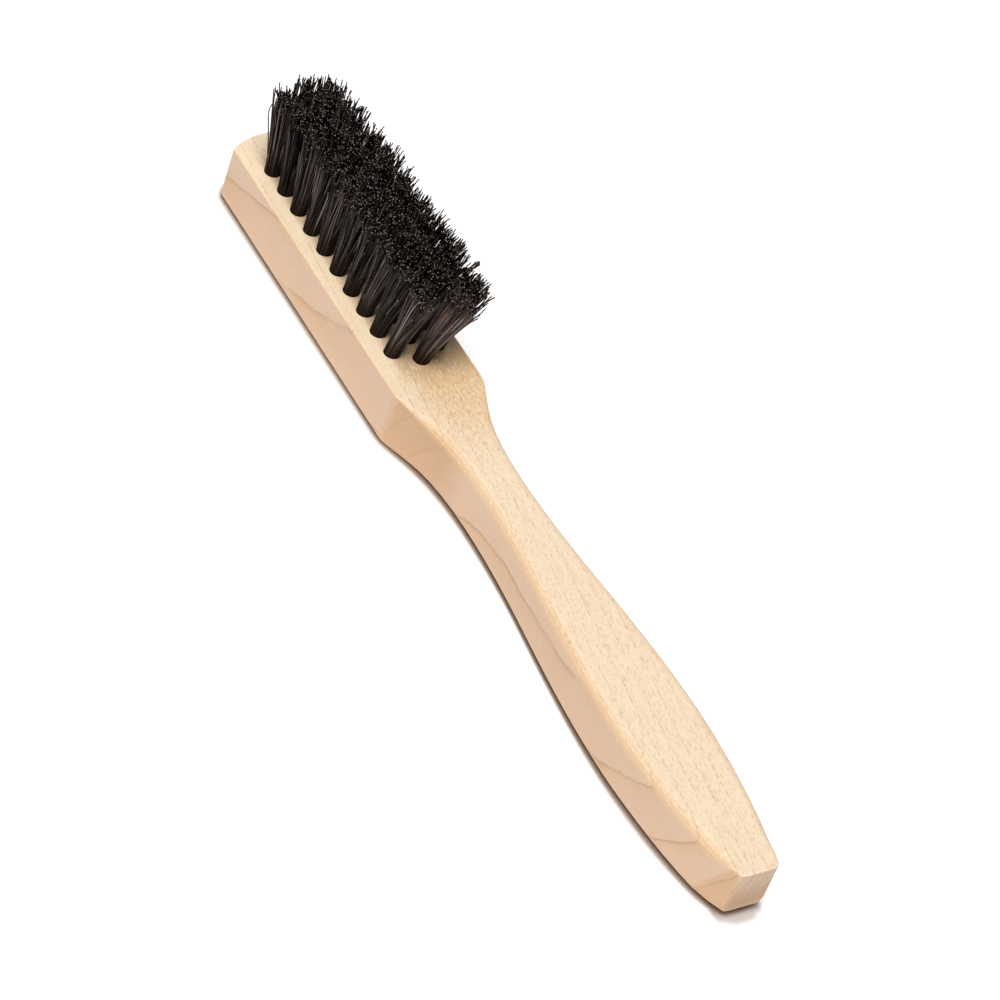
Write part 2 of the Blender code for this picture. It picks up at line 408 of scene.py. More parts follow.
@dataclass(frozen=True)
class Patch:
    """A soft-edged patch of the block: the spans in millimetres over which it fades in."""

    x: Span | None = None
    y: Span | None = None
    z: Span | None = None

    def share(self, point: BlockPoint) -> Channel:
        """How much of the patch there is at a point.

        Args:
            point: the shaded point.

        Returns:
            From 0 to 1.
        """
        spans = ((point.x, self.x), (point.y, self.y), (point.z, self.z))
        first, *others = [place.eased(*span) for place, span in spans if span]
        return math.prod(others, start=first)


@dataclass(frozen=True)
class Grain:
    """The wood's grain at the shaded point: lines and tails of the rings, prints and noises."""

    line: Channel
    tail: Channel
    prints: Channel
    end_lines: Channel
    streak: Channel
    dash: Channel
    mottle: Channel


@dataclass(frozen=True)
class MapleFinish:
    """Sanded, unvarnished maple, cut by each face in its own way.

    It has growth rings, streaks, dark flecks and pale specks that are partly painted glints, a
    painted highlight along the top of the end face, and orange round-overs darkened as painted
    shade. The sides have a warmer shoulder, darkened further as painted shade, and a warmer low
    end. The end face is darker towards its bottom as painted shade and paler on its lowest
    round-over as painted light. The upper face has a golden zone before the handle, painted light
    along the head's near border and painted shade around the feet of the tufts.
    """

    upper: Color = (0.960, 0.768, 0.556)
    side: Color = (0.882, 0.632, 0.452)
    end_grain: Color = (0.890, 0.690, 0.530)
    # Painted shade: the end face darker towards its bottom
    end_grain_shaded_low: Color = (0.600, 0.385, 0.245)
    # Painted light: paler again on the end's lowest round-over
    end_foot_light: Color = (0.880, 0.600, 0.410)
    # Orange wood of the round-overs, darkened as painted shade where they turn from the light
    rounding_shade: Color = (0.850, 0.540, 0.280)
    # Painted highlight along the top of the end face
    end_rim_highlight: Color = (0.970, 0.880, 0.770)
    # Painted light along the head's near border, which the tufts shade
    margin_light: Color = (0.990, 0.800, 0.555)
    late_wood: Color = (0.600, 0.350, 0.180)
    warm_wood: Color = (0.800, 0.500, 0.290)
    # Warmer wood of the shoulder, darkened further as painted shade
    shoulder_wood_and_shade: Color = (0.740, 0.465, 0.272)
    golden_wood: Color = (0.785, 0.525, 0.268)
    # Painted shade around the feet of the tufts
    tuft_foot_shade: Color = (0.560, 0.345, 0.165)
    fleck: Color = (0.660, 0.410, 0.190)
    # Pale specks of the grain, partly painted glints
    pale_fleck_and_glint: Color = (0.970, 0.830, 0.640)

    rings: GrowthRings = GrowthRings()
    clear_scale: float = 0.11
    clear_span: Span = (0.30, 0.62)
    least_clear: float = 0.3
    print_gap_mm: float = 0.22
    mottle_scale: float = 0.16
    streak_scale: Triple = (0.07, 1.9, 0.5)
    streak_rough: float = 0.6
    dash_drift: float = 0.12
    dash_scale: Triple = (1.0, 3.0, 3.0)
    dash_rough: float = 0.65

    flat_facing: Span = (0.30, 0.96)
    end_facing: Span = (0.60, 0.82)
    rounding_facing: Zone = Zone((0.0, 0.38), (1.0, 0.78))
    rounding_shade_share: float = 0.62
    rim_facing_x: Span = (0.22, 0.50)
    rim_facing_z: Span = (0.25, 0.50)
    end_rim_highlight_share: float = 0.80

    mottle_span: Span = (0.35, 0.75)
    mottle_share: float = 0.10
    shoulder_mm: Zone = Zone((-26.0, -22.0), (-1.0, -14.0))
    shoulder_patches: Span = (0.5, 1.3)
    shoulder_wood_and_shade_share: float = 1.5
    print_share: float = 0.16
    low_end_slope: float = 0.49
    low_end_mm: Span = (90.9, 92.2)
    low_end_share: float = 0.88
    low_nose_mm: Patch = Patch(x=(-82.0, -93.0), z=(10.0, 2.0))
    low_nose_share: float = 0.30
    low_mm: Patch = Patch(z=(12.0, 1.0))
    low_share: float = 0.32
    margin_light_mm: Patch = Patch(x=(-18.0, -32.0), y=(-5.5, -7.5))
    golden_mm: Zone = Zone((-44.0, -28.0), (0.0, -30.0))
    golden_y_mm: Span = (-4.5, 4.0)
    golden_mottle_mm: float = 3.0
    golden_dash_mm: float = 4.0
    golden_share: float = 0.92
    base_rise_mm: Span = (-94.0, -90.0)
    base_fall_mm: Span = (-26.5, -32.0)
    base_y_mm: Span = (-6.2, -3.6)
    base_mottle_mm: float = 2.0
    tuft_foot_shade_share: float = 0.60
    last_foot_y_mm: Span = (5.0, 2.0)
    last_foot_mm: float = 2.5

    end_shade_low_mm: Patch = Patch(z=(12.0, 4.0))
    end_foot_light_mm: Patch = Patch(z=(4.5, 1.5))
    end_warm_mm: Patch = Patch(y=(-1.0, 4.0), z=(8.0, 2.0))
    end_warm_share: float = 0.80
    end_line_scale: Triple = (0.05, 3.9, 0.10)
    end_line_span: Span = (0.45, 0.60)
    end_line_share: float = 0.72

    tail_shares: Span = (0.70, 0.18)
    streak_span: Span = (0.50, 0.78)
    streak_shares: Span = (0.07, 0.19)
    dark_dash_span: Span = (0.51, 0.67)
    side_dark_share: float = 0.10
    top_dark_share: float = 0.36
    golden_dark_rise: float = 0.60
    margin_light_dark_cut: float = 0.24
    pale_dash_span: Span = (0.47, 0.30)
    side_pale_share: float = 0.15
    top_pale_share: float = 0.60
    golden_pale_cut: float = 0.12
    dotted_span: Span = (0.38, 0.58)
    side_line_share: float = 0.62
    rounding_line_cut: float = 0.9
    top_line_share: float = 0.72

    roughness: float = 0.50
    rougher: float = 0.12
    bump_mm: float = 0.06
    bump_strength: float = 0.35

    def point(self, graph: Graph) -> BlockPoint:
        """Read where the shaded point is and which kind of face it is on.

        Args:
            graph: the material's graph.

        Returns:
            The point.
        """
        place = graph.place_mm()
        x, y, z = graph.split(place)
        facing_x, _, facing_z = graph.split(graph.node("ShaderNodeTexCoord", output="Normal"))
        flat = abs(facing_z).eased(*self.flat_facing)
        return BlockPoint(
            place=place,
            x=x,
            y=y,
            z=z,
            flat=flat,
            upright=1.0 - flat,
            end=abs(facing_x).eased(*self.end_facing),
            rounding=self.rounding_facing.share(facing_z),
            end_rim_highlight=facing_x.eased(*self.rim_facing_x) * facing_z.eased(*self.rim_facing_z),
        )

    def grain(self, graph: Graph, point: BlockPoint) -> Grain:
        """Work out the grain at the shaded point.

        Args:
            graph: the material's graph.
            point: the point.

        Returns:
            The grain.
        """
        depth = self.rings.depth(graph, point.place)
        phase = self.rings.phase(graph, depth)
        clear = graph.noise(point.place, self.clear_scale, detail=1.0)
        clear = clear.eased(*self.clear_span).spanning(self.least_clear, 1.0)
        along = graph.joined(point.x, depth, point.z)
        streak_place = graph.stretch(along, self.streak_scale)
        dash_place = graph.joined(point.x, point.y + point.x * self.dash_drift, point.z)
        dash_place = graph.stretch(dash_place, self.dash_scale)
        return Grain(
            line=graph.curve(phase, self.rings.line_stops) * clear,
            tail=graph.curve(phase, self.rings.tail_stops) * clear,
            prints=graph.maths("SINE", depth * (2 * math.pi / self.print_gap_mm)) * 0.5 + 0.5,
            end_lines=graph.noise(graph.stretch(along, self.end_line_scale)),
            streak=graph.noise(streak_place, detail=3.0, rough=self.streak_rough),
            dash=graph.noise(dash_place, detail=3.0, rough=self.dash_rough),
            mottle=graph.noise(point.place, self.mottle_scale),
        )

    def golden(self, point: BlockPoint, grain: Grain) -> Channel:
        """Share of the golden zone of the upper face, before the handle and off the near side.

        Args:
            point: the shaded point.
            grain: the grain there, which frays the zone's border.

        Returns:
            From 0 to 1.
        """
        fray = grain.mottle * self.golden_mottle_mm + grain.dash * self.golden_dash_mm
        return self.golden_mm.share(point.x) * (point.y + fray).eased(*self.golden_y_mm)

    def tuft_foot_shade_zone(self, point: BlockPoint, grain: Grain) -> Channel:
        """Share of painted shade on the wood around the tufts, reaching further beside the last
        one.

        Args:
            point: the shaded point.
            grain: the grain there, which frays the zone's border.

        Returns:
            From 0 to 1.
        """
        last_foot = abs(point.y).eased(*self.last_foot_y_mm) * self.last_foot_mm
        frayed = point.y + grain.mottle * self.base_mottle_mm
        along = (point.x - last_foot).eased(*self.base_fall_mm) * point.x.eased(*self.base_rise_mm)
        return along * frayed.eased(*self.base_y_mm)

    def long_faces(
        self, graph: Graph, point: BlockPoint, grain: Grain, golden: Channel, margin_light: Channel
    ) -> Channel:
        """Colour of the upper face and the sides, with their zones.

        Args:
            graph: the material's graph.
            point: the shaded point.
            grain: the grain there.
            golden: share of the golden zone.
            margin_light: share of the painted light along the head's near border, which the tufts
                shade.

        Returns:
            The colour that the grain is drawn on.
        """
        color = graph.blend(point.flat, self.side, graph.blend(margin_light, self.upper, self.margin_light))
        mottled = grain.mottle.eased(*self.mottle_span)
        color = graph.blend(mottled * self.mottle_share, color, self.warm_wood)
        patches = grain.mottle.spanning(*self.shoulder_patches)
        shoulder = self.shoulder_mm.share(point.x) * patches * point.upright
        # The shoulder's warmer wood on the sides, darkened further as painted shade.
        color = graph.blend(shoulder * self.shoulder_wood_and_shade_share, color, self.shoulder_wood_and_shade)
        color = graph.blend(shoulder * grain.prints * self.print_share, color, self.late_wood)
        color = graph.blend(golden * point.flat * self.golden_share, color, self.golden_wood)
        # Painted shade on the upper face around the feet of the tufts.
        tuft_foot_shade_zone = self.tuft_foot_shade_zone(point, grain)
        color = graph.blend(tuft_foot_shade_zone * point.flat * self.tuft_foot_shade_share, color, self.tuft_foot_shade)
        low_end = (point.x - point.z * self.low_end_slope).eased(*self.low_end_mm)
        color = graph.blend(low_end * point.upright * self.low_end_share, color, self.warm_wood)
        low = self.low_mm.share(point) * self.low_share
        low_nose = self.low_nose_mm.share(point) * self.low_nose_share
        return graph.blend(low + low_nose, color, self.warm_wood)

    def end_cut(self, graph: Graph, point: BlockPoint, grain: Grain) -> Channel:
        """Colour of the sawn end, with the rings' lines, painted shade below and painted light at
        its foot.

        Args:
            graph: the material's graph.
            point: the shaded point.
            grain: the grain there.

        Returns:
            The colour.
        """
        # Painted shade: darker towards the bottom of the end face.
        low = self.end_shade_low_mm.share(point)
        color = graph.blend(low, self.end_grain, self.end_grain_shaded_low)
        # Painted light: paler on the end's lowest round-over.
        color = graph.blend(self.end_foot_light_mm.share(point), color, self.end_foot_light)
        warmth = self.end_warm_mm.share(point) * self.end_warm_share
        color = graph.blend(warmth, color, self.warm_wood)
        lines = grain.end_lines.eased(*self.end_line_span)
        return graph.blend(lines * self.end_line_share, color, self.late_wood)

    def material(self) -> bpy.types.Material:
        """Build the material.

        Returns:
            Maple for the block.
        """
        graph = Graph(bpy.data.materials.new("Maple"))
        point = self.point(graph)
        grain = self.grain(graph, point)
        golden = self.golden(point, grain)
        # Painted light along the head's near border, where the tufts take light away.
        margin_light = self.margin_light_mm.share(point)
        color = self.long_faces(graph, point, grain, golden, margin_light)
        tails = grain.tail * point.flat.spanning(*self.tail_shares)
        color = graph.blend(tails, color, self.warm_wood)
        # The round-overs: orange wood, darkened as painted shade.
        color = graph.blend(point.rounding * self.rounding_shade_share, color, self.rounding_shade)
        # Painted highlight along the top of the end face.
        color = graph.blend(point.end_rim_highlight * self.end_rim_highlight_share, color, self.end_rim_highlight)
        color = graph.blend(point.end, color, self.end_cut(graph, point, grain))

        streaks = grain.streak.eased(*self.streak_span)
        color = graph.blend(streaks * point.flat.spanning(*self.streak_shares), color, self.fleck)
        dark_dash = grain.dash.eased(*self.dark_dash_span)
        top_dark = self.top_dark_share + golden * self.golden_dark_rise
        top_dark = top_dark - margin_light * self.margin_light_dark_cut
        dark_share = point.flat * top_dark + self.side_dark_share
        color = graph.blend(dark_dash * dark_share, color, self.fleck)
        # Pale specks of the grain, partly painted glints.
        pale_dash = grain.dash.eased(*self.pale_dash_span)
        top_pale = self.top_pale_share - golden * self.golden_pale_cut
        pale_share = point.flat * top_pale + self.side_pale_share
        color = graph.blend(pale_dash * pale_share, color, self.pale_fleck_and_glint)

        side_lines = point.upright * self.side_line_share
        side_lines = side_lines * (1.0 - point.rounding * self.rounding_line_cut)
        top_lines = point.flat * grain.dash.eased(*self.dotted_span) * self.top_line_share
        color = graph.blend(grain.line * (side_lines + top_lines), color, self.late_wood)
        height = (grain.streak + grain.dash) * 0.5
        return graph.shade(
            Base_Color=color,
            Roughness=(dark_dash + point.end) * self.rougher + self.roughness,
            Normal=graph.bump(height, self.bump_mm * MM, self.bump_strength),
        )


@dataclass(frozen=True)
class BristleFinish:
    """Stiff black hair with a brown cast, single reddish and pale hairs, and paler cut tips, partly
    painted glints.
    The lower parts of the hairs and their upper ends are darkened as painted shade.
    """

    black: Color = (0.002, 0.001, 0.001)
    brown: Color = (0.114, 0.086, 0.080)
    red_brown: Color = (0.335, 0.230, 0.182)
    pale: Color = (0.360, 0.310, 0.275)
    # Painted shade on the lower parts of the hairs, where the bundle crowds
    root: Color = (0.012, 0.006, 0.003)
    # Paler cut ends of the hairs, partly painted glints
    cut_tip_and_glint: Color = (0.330, 0.270, 0.230)
    brown_span: Span = (0.32, 0.88)
    red_brown_span: Span = (0.88, 1.0)
    pale_span: Span = (0.985, 0.992)
    root_shade_run: Span = (0.46, 0.04)
    root_shade_share: float = 0.92
    # Painted shade: the upper ends of the hairs darkened towards black
    tip_shade_run: Span = (0.86, 0.98)
    tip_shade_share: float = 0.66
    cut_tip_run: Span = (1.01, 1.04)
    cut_tip_grain: Span = (0.45, 0.62)
    grain_scale: float = 2.6
    roughness: Span = (0.17, 0.37)
    gloss: float = 0.08

    def material(self) -> bpy.types.Material:
        """Build the material.

        Returns:
            Hair for the tufts, which carry the attributes hair_shade and hair_run.
        """
        graph = Graph(bpy.data.materials.new("Bristle"))
        shade = graph.attribute("hair_shade")
        run = graph.attribute("hair_run")
        grain = graph.noise(graph.place_mm(), self.grain_scale)
        color = graph.blend(shade.eased(*self.brown_span), self.black, self.brown)
        color = graph.blend(shade.eased(*self.red_brown_span), color, self.red_brown)
        color = graph.blend(shade.eased(*self.pale_span), color, self.pale)
        # Painted shade on the lower parts of the hairs, where the bundle crowds.
        color = graph.blend(run.eased(*self.root_shade_run) * self.root_shade_share, color, self.root)
        # Painted shade: the upper ends of the hairs darkened towards black.
        color = graph.blend(run.eased(*self.tip_shade_run) * self.tip_shade_share, color, self.black)
        # Paler cut tips, partly painted glints.
        cut = run.eased(*self.cut_tip_run) * grain.eased(*self.cut_tip_grain)
        return graph.shade(
            Base_Color=graph.blend(cut, color, self.cut_tip_and_glint),
            Roughness=grain.spanning(*self.roughness),
            Specular_IOR_Level=self.gloss,
        )


@dataclass(frozen=True)
class AnchorWireFinish:
    """Drawn flat steel wire, with fine scratches along it."""

    bright: Color = (0.640, 0.620, 0.590)
    dull: Color = (0.420, 0.400, 0.370)
    scratch_scale: Triple = (9.0, 0.7, 9.0)
    dull_span: Span = (0.35, 0.70)
    roughness: Span = (0.26, 0.50)
    bump_mm: float = 0.02
    bump_strength: float = 0.3

    def material(self) -> bpy.types.Material:
        """Build the material.

        Returns:
            Steel for the anchors.
        """
        graph = Graph(bpy.data.materials.new("Anchor_wire"))
        scratches = graph.noise(graph.stretch(graph.place_mm(), self.scratch_scale), detail=3.0)
        return graph.shade(
            Base_Color=graph.blend(scratches.eased(*self.dull_span), self.bright, self.dull),
            Metallic=1.0,
            Roughness=scratches.spanning(*self.roughness),
            Normal=graph.bump(scratches, self.bump_mm * MM, self.bump_strength),
        )


@dataclass(frozen=True)
class FloorFinish:
    """Matt white studio floor, lifted to white for the camera, with a narrow shade at the block.

    The shade follows how open the floor is to the sky. Its reach changes along the block, and past
    the end of the handle it is wider and greyer.
    """

    paper: Color = (0.930, 0.930, 0.930)
    crease: Color = (0.260, 0.205, 0.170)
    end_shade: Color = (0.575, 0.545, 0.530)
    longest_reach_mm: float = 4.0
    reach_span_mm: Span = (-100.0, 104.0)
    reach_stops: Stops = (
        (0.0, 0.64), (0.30, 0.60), (0.45, 0.52), (0.60, 0.34), (0.70, 0.38), (0.80, 0.50),
        (0.88, 0.60), (0.965, 0.48), (0.99, 1.0),
    )
    occlusion_samples: int = 8
    near_end_mm: Span = (96.5, 100.5)
    shade_starts: Span = (0.48, 0.80)
    shade_ends: float = 0.90
    end_shade_span: Span = (0.36, 0.50)
    lift: float = 0.26

    def material(self) -> bpy.types.Material:
        """Build the material.

        Returns:
            White paper.
        """
        graph = Graph(bpy.data.materials.new("Floor"))
        x, _, _ = graph.split(graph.place_mm())
        near_end = x.eased(*self.near_end_mm)
        low, high = self.reach_span_mm
        reach = graph.curve((x - low) / (high - low), self.reach_stops) * self.longest_reach_mm
        settings, sockets = {"samples": self.occlusion_samples}, {"Distance": reach * MM}
        openness = graph.node("ShaderNodeAmbientOcclusion", settings, sockets, output="AO")
        lit = openness.eased(near_end.spanning(*self.shade_starts), self.shade_ends)
        seen = graph.node("ShaderNodeLightPath", output="Is Camera Ray")
        greyer = near_end * openness.eased(*self.end_shade_span)
        shade = graph.blend(greyer, self.crease, self.end_shade)
        lift = seen * lit * self.lift
        return graph.shade(
            Base_Color=graph.blend(seen * (1.0 - lit), self.paper, shade),
            Roughness=1.0,
            Specular_IOR_Level=0.0,
            Emission_Color=graph.joined(lift, lift, lift),
            Emission_Strength=1.0,
        )


def new_piece(
    name: str, mesh: bpy.types.Mesh, finish: bpy.types.Material
) -> bpy.types.Object:
    """Link a mesh as a piece that rides on the block's body.

    Args:
        name: name of the piece.
        mesh: its mesh, in place.
        finish: its material.

    Returns:
        The new object.
    """
    mesh.materials.append(finish)
    piece = bpy.data.objects.new(name, mesh)
    bpy.context.scene.collection.objects.link(piece)
    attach(piece, BODY)
    log.info("%s: %d faces", name, len(mesh.polygons))
    return piece


def dress_node(name: str, finish: bpy.types.Material) -> None:
    """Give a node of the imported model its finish.

    Args:
        name: name of the node.
        finish: its material.
    """
    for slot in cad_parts[name].material_slots:
        slot.material = finish
    log.info("%s: dressed as %s", name, finish.name)


@dataclass
class Block:
    """The maple block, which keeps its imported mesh."""

    node: str = "block"

    def dress(self, maple: MapleFinish) -> None:
        """Give the block its grain."""
        dress_node(self.node, maple.material())


@dataclass
class HolePlan:
    """Where the drilled holes are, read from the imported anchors.

    The middle row's anchors are one solid with their tufts, so that row is placed half a pitch
    before the left one, on the middle line between the outer rows.
    """

    hole_radius: float = 0.0018

    def __post_init__(self) -> None:
        """Read the ends of the outer rows, and work out the pitch."""
        self.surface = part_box("block")[1].z
        self.first_left = self.anchor_middle(Row.LEFT, 1)
        self.last_left = self.anchor_middle(Row.LEFT, Row.LEFT.count)
        self.first_right = self.anchor_middle(Row.RIGHT, 1)
        self.pitch = (self.last_left.x - self.first_left.x) / (Row.LEFT.count - 1)

    @staticmethod
    def anchor_middle(row: Row, number: int) -> Vector:
        """Middle of a packed anchor."""
        low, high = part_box(f"anchor_{row.label(number)}")
        return (low + high) / 2

    @property
    def middle(self) -> Vector:
        """Middle of the whole field of tufts, on the wood's surface."""
        across = (self.first_left.y + self.first_right.y) / 2
        return Vector(((self.first_left.x + self.last_left.x) / 2, across, self.surface))

    @property
    def half_length(self) -> float:
        """Half of the field's length, up to the outermost holes of the middle row."""
        return (self.last_left.x - self.first_left.x + self.pitch) / 2

    @property
    def row_spacing(self) -> float:
        """Distance between two rows."""
        return (self.first_right.y - self.first_left.y) / 2

    def mouth(self, row: Row, number: int) -> Vector:
        """Middle of one hole's mouth.

        Args:
            row: the row.
            number: from 1, at the nose.

        Returns:
            The place on the wood's surface.
        """
        if row is Row.MIDDLE:
            x = self.first_left.x + (number - 1.5) * self.pitch
            return Vector((x, self.middle.y, self.surface))
        anchor = self.anchor_middle(row, number)
        return Vector((anchor.x, anchor.y, self.surface))


@dataclass
class TuftField:
    """The bristle tufts: bundles of hairs, folded around their anchors and fanned out above."""

    plan: HolePlan
    hairs: int = 160
    clumps: int = 64
    sides: int = 4
    hair_width: float = 0.00031
    tip_width: float = 0.00028
    root_jitter: float = 0.3
    trim_height: float = 0.0195
    trim_unevenness: float = 0.00070
    single_hair_share: float = 0.6
    short_share: float = 0.07
    short_by: Span = (0.001, 0.005)
    highest_rise: float = 0.0012
    upright_before_middle: float = 0.0250
    end_lean: float = 0.0048
    side_lean: float = 0.0008
    side_lean_growth: float = 0.0005
    side_shift: float = 0.0004
    side_shift_growth: float = 0.0007
    flare: Span = (2.05, 1.60)
    bend_power: float = 1.20
    clump_pull: float = 0.85
    pull_range: Span = (0.7, 1.1)
    clump_wander: float = 0.00066
    tip_wander: float = 0.00036
    tip_curl: float = 0.00022
    curl_start: float = 0.80
    tuft_wander: float = 0.00020
    bow: float = 0.00028
    stray_share: float = 0.03
    stray_wander: float = 0.0009
    reach: float = 1.12
    last_tufts_warmth: float = 0.82
    warmth_power: int = 8
    own_leans_mm: tuple[tuple[Row, int, float, float], ...] = (
        (Row.LEFT, 1, -0.6, -0.6), (Row.LEFT, 2, -0.4, -0.5), (Row.LEFT, 3, -0.2, -0.3),
        (Row.MIDDLE, 1, 1.2, 0.5), (Row.RIGHT, 1, -0.9, -0.6), (Row.RIGHT, 2, -0.6, 0.2),
        (Row.RIGHT, 3, -0.3, 1.0), (Row.RIGHT, 4, -0.1, 0.8), (Row.RIGHT, 5, 0.0, 0.4),
        (Row.RIGHT, 9, 0.0, -0.6), (Row.RIGHT, 10, -0.3, -0.5),
    )
    wire_half: float = 0.00034
    wire_depth: float = 0.0062
    fold_depth: float = 0.0080
    fold_share: float = 0.40
    heights: tuple[float, ...] = (0.0, 0.12, 0.28, 0.46, 0.64, 0.80, 0.91, 1.0)
    cut_run: float = 1.05
    seed: int = 5

    def lean(self, row: Row, number: int) -> np.ndarray:
        """How far a tuft's tips stand beside its hole: the spread of the field, and its own lean.

        Args:
            row: the row.
            number: from 1, at the nose.

        Returns:
            The way along X and Y.
        """
        mouth = self.plan.mouth(row, number)
        middle = self.plan.middle
        upright = middle.x - self.upright_before_middle
        along = (mouth.x - upright) / (middle.x + self.plan.half_length - upright) * self.end_lean
        place = (mouth.x - middle.x) / self.plan.half_length
        line = (mouth.y - middle.y) / self.plan.row_spacing
        spread = self.side_lean + self.side_lean_growth * place
        shift = self.side_shift + self.side_shift_growth * place
        own = {(at, count): np.array((x, y)) * MM for at, count, x, y in self.own_leans_mm}
        return np.array((along, shift + line * spread)) + own.get((row, number), 0.0)

    def roots(self, chance: np.random.Generator) -> np.ndarray:
        """Where the hairs of one tuft stand in the hole's mouth.

        Args:
            chance: source of random numbers.

        Returns:
            Ways from the middle of the hole, one row for each hair.
        """
        limit = self.plan.hole_radius - self.hair_width / 2
        number = np.arange(self.hairs) + 0.5
        radius = limit * np.sqrt(number / self.hairs)
        angle = number * GOLDEN_ANGLE + chance.uniform(0, 2 * math.pi)
        spots = np.stack([radius * np.cos(angle), radius * np.sin(angle)], axis=1)
        spots += chance.uniform(-self.root_jitter, self.root_jitter, spots.shape) * self.hair_width
        far = np.linalg.norm(spots, axis=1, keepdims=True)
        return spots * np.minimum(1.0, limit / far)

    def tips(
        self, roots: np.ndarray, lean: np.ndarray, chance: np.random.Generator
    ) -> tuple[np.ndarray, np.ndarray]:
        """Where the hairs end: fanned out, drawn together in small clumps and trimmed level.

        Args:
            roots: ways of the hairs from the middle of the hole.
            lean: how far the tuft leans.
            chance: source of random numbers.

        Returns:
            Places relative to the hole's mouth, and how far each tip curls aside, by hair.
        """
        spread = roots * self.flare
        seeds = spread[chance.choice(self.hairs, self.clumps, replace=False)]
        gaps = np.linalg.norm(spread[:, None] - seeds[None], axis=2)
        clump = np.argmin(gaps, axis=1)
        seeds += chance.normal(0, self.clump_wander, seeds.shape)
        pull = self.clump_pull * chance.uniform(*self.pull_range, (self.hairs, 1))
        spread = spread + (seeds[clump] - spread) * pull
        spread += chance.normal(0, self.tip_wander, spread.shape)
        spread += chance.normal(0, self.tuft_wander, 2)
        stray = chance.uniform(size=(self.hairs, 1)) < self.stray_share
        spread += stray * chance.normal(0, self.stray_wander, spread.shape)
        limit = self.reach * self.plan.hole_radius * np.array(self.flare)
        spread /= np.maximum(1.0, np.linalg.norm(spread / limit, axis=1, keepdims=True))
        single = self.trim_unevenness * self.single_hair_share
        height = self.trim_height + chance.normal(0, single, self.hairs)
        height += chance.normal(0, self.trim_unevenness, self.clumps)[clump]
        short = chance.uniform(size=self.hairs) < self.short_share
        height -= short * chance.uniform(*self.short_by, self.hairs)
        height = np.minimum(height, self.trim_height + self.highest_rise)
        curl = chance.normal(0, self.tip_curl, seeds.shape)[clump]
        curl += chance.normal(0, self.tip_curl, spread.shape)
        return np.column_stack([spread + lean, height]), curl

    def paths(self, lean: np.ndarray, chance: np.random.Generator) -> np.ndarray:
        """Middle lines of the hairs of one tuft.

        Args:
            lean: how far the tuft leans.
            chance: source of random numbers.

        Returns:
            Points relative to the hole's mouth, by level, hair and axis.
        """
        roots = self.roots(chance)
        tips, curl = self.tips(roots, lean, chance)
        turn = chance.uniform(0, 2 * math.pi, self.hairs)
        swing = chance.uniform(0, self.bow, self.hairs)
        sway = np.stack([np.cos(turn), np.sin(turn)], axis=1) * swing[:, None]
        side = np.where(roots[:, :1] < 0, -1.0, 1.0)
        past_wire = np.hstack([side * np.maximum(abs(roots[:, :1]), self.wire_half), roots[:, 1:]])
        folded = past_wire * (self.fold_share, 1.0)
        levels = [
            np.column_stack([folded, np.full(self.hairs, -self.fold_depth)]),
            np.column_stack([past_wire, np.full(self.hairs, -self.wire_depth)]),
        ]
        for share in self.heights:
            flat = roots + (tips[:, :2] - roots) * share**self.bend_power
            flat += sway * math.sin(math.pi * share)
            curled = max(0.0, (share - self.curl_start) / (1 - self.curl_start))
            flat += curl * curled**2
            levels.append(np.column_stack([flat, tips[:, 2] * share]))
        return np.array(levels)

    def tube_rings(self, paths: np.ndarray) -> np.ndarray:
        """Points around each hair, square to its run.

        Args:
            paths: middle lines, by level, hair and axis.

        Returns:
            Points by level, hair, side and axis. The last level is there twice, for the cut tip.
        """
        run = np.gradient(paths, axis=0)
        run /= np.linalg.norm(run, axis=2, keepdims=True)
        across = np.cross(run, (0.0, 1.0, 0.0))
        across /= np.linalg.norm(across, axis=2, keepdims=True)
        other = np.cross(run, across)
        inside = len(paths) - len(self.heights)
        shares = np.concatenate([np.zeros(inside), self.heights])
        radius = (self.hair_width + (self.tip_width - self.hair_width) * shares) / 2
        angle = 2 * math.pi * np.arange(self.sides) / self.sides
        ring = (
            across[:, :, None] * np.cos(angle)[None, None, :, None]
            + other[:, :, None] * np.sin(angle)[None, None, :, None]
        )
        rings = paths[:, :, None] + ring * radius[:, None, None, None]
        return np.concatenate([rings, rings[-1:]])

    def faces(self, levels: int) -> list[tuple[int, ...]]:
        """Faces of all hairs of one tuft.

        Args:
            levels: rings on each hair, with the second ring at the tip.

        Returns:
            Corners of each face: the walls, the foot caps and the tip caps.
        """
        def corner(level: int, hair: int, side: int) -> int:
            """Number of one point."""
            return (level * self.hairs + hair) * self.sides + side % self.sides

        walls = [
            (corner(n, h, s), corner(n, h, s + 1), corner(n + 1, h, s + 1), corner(n + 1, h, s))
            for n in range(levels - 2)
            for h in range(self.hairs)
            for s in range(self.sides)
        ]
        hairs, sides = range(self.hairs), range(self.sides)
        feet = [tuple(corner(0, h, s) for s in reversed(sides)) for h in hairs]
        caps = [tuple(corner(levels - 1, h, s) for s in sides) for h in hairs]
        return walls + feet + caps

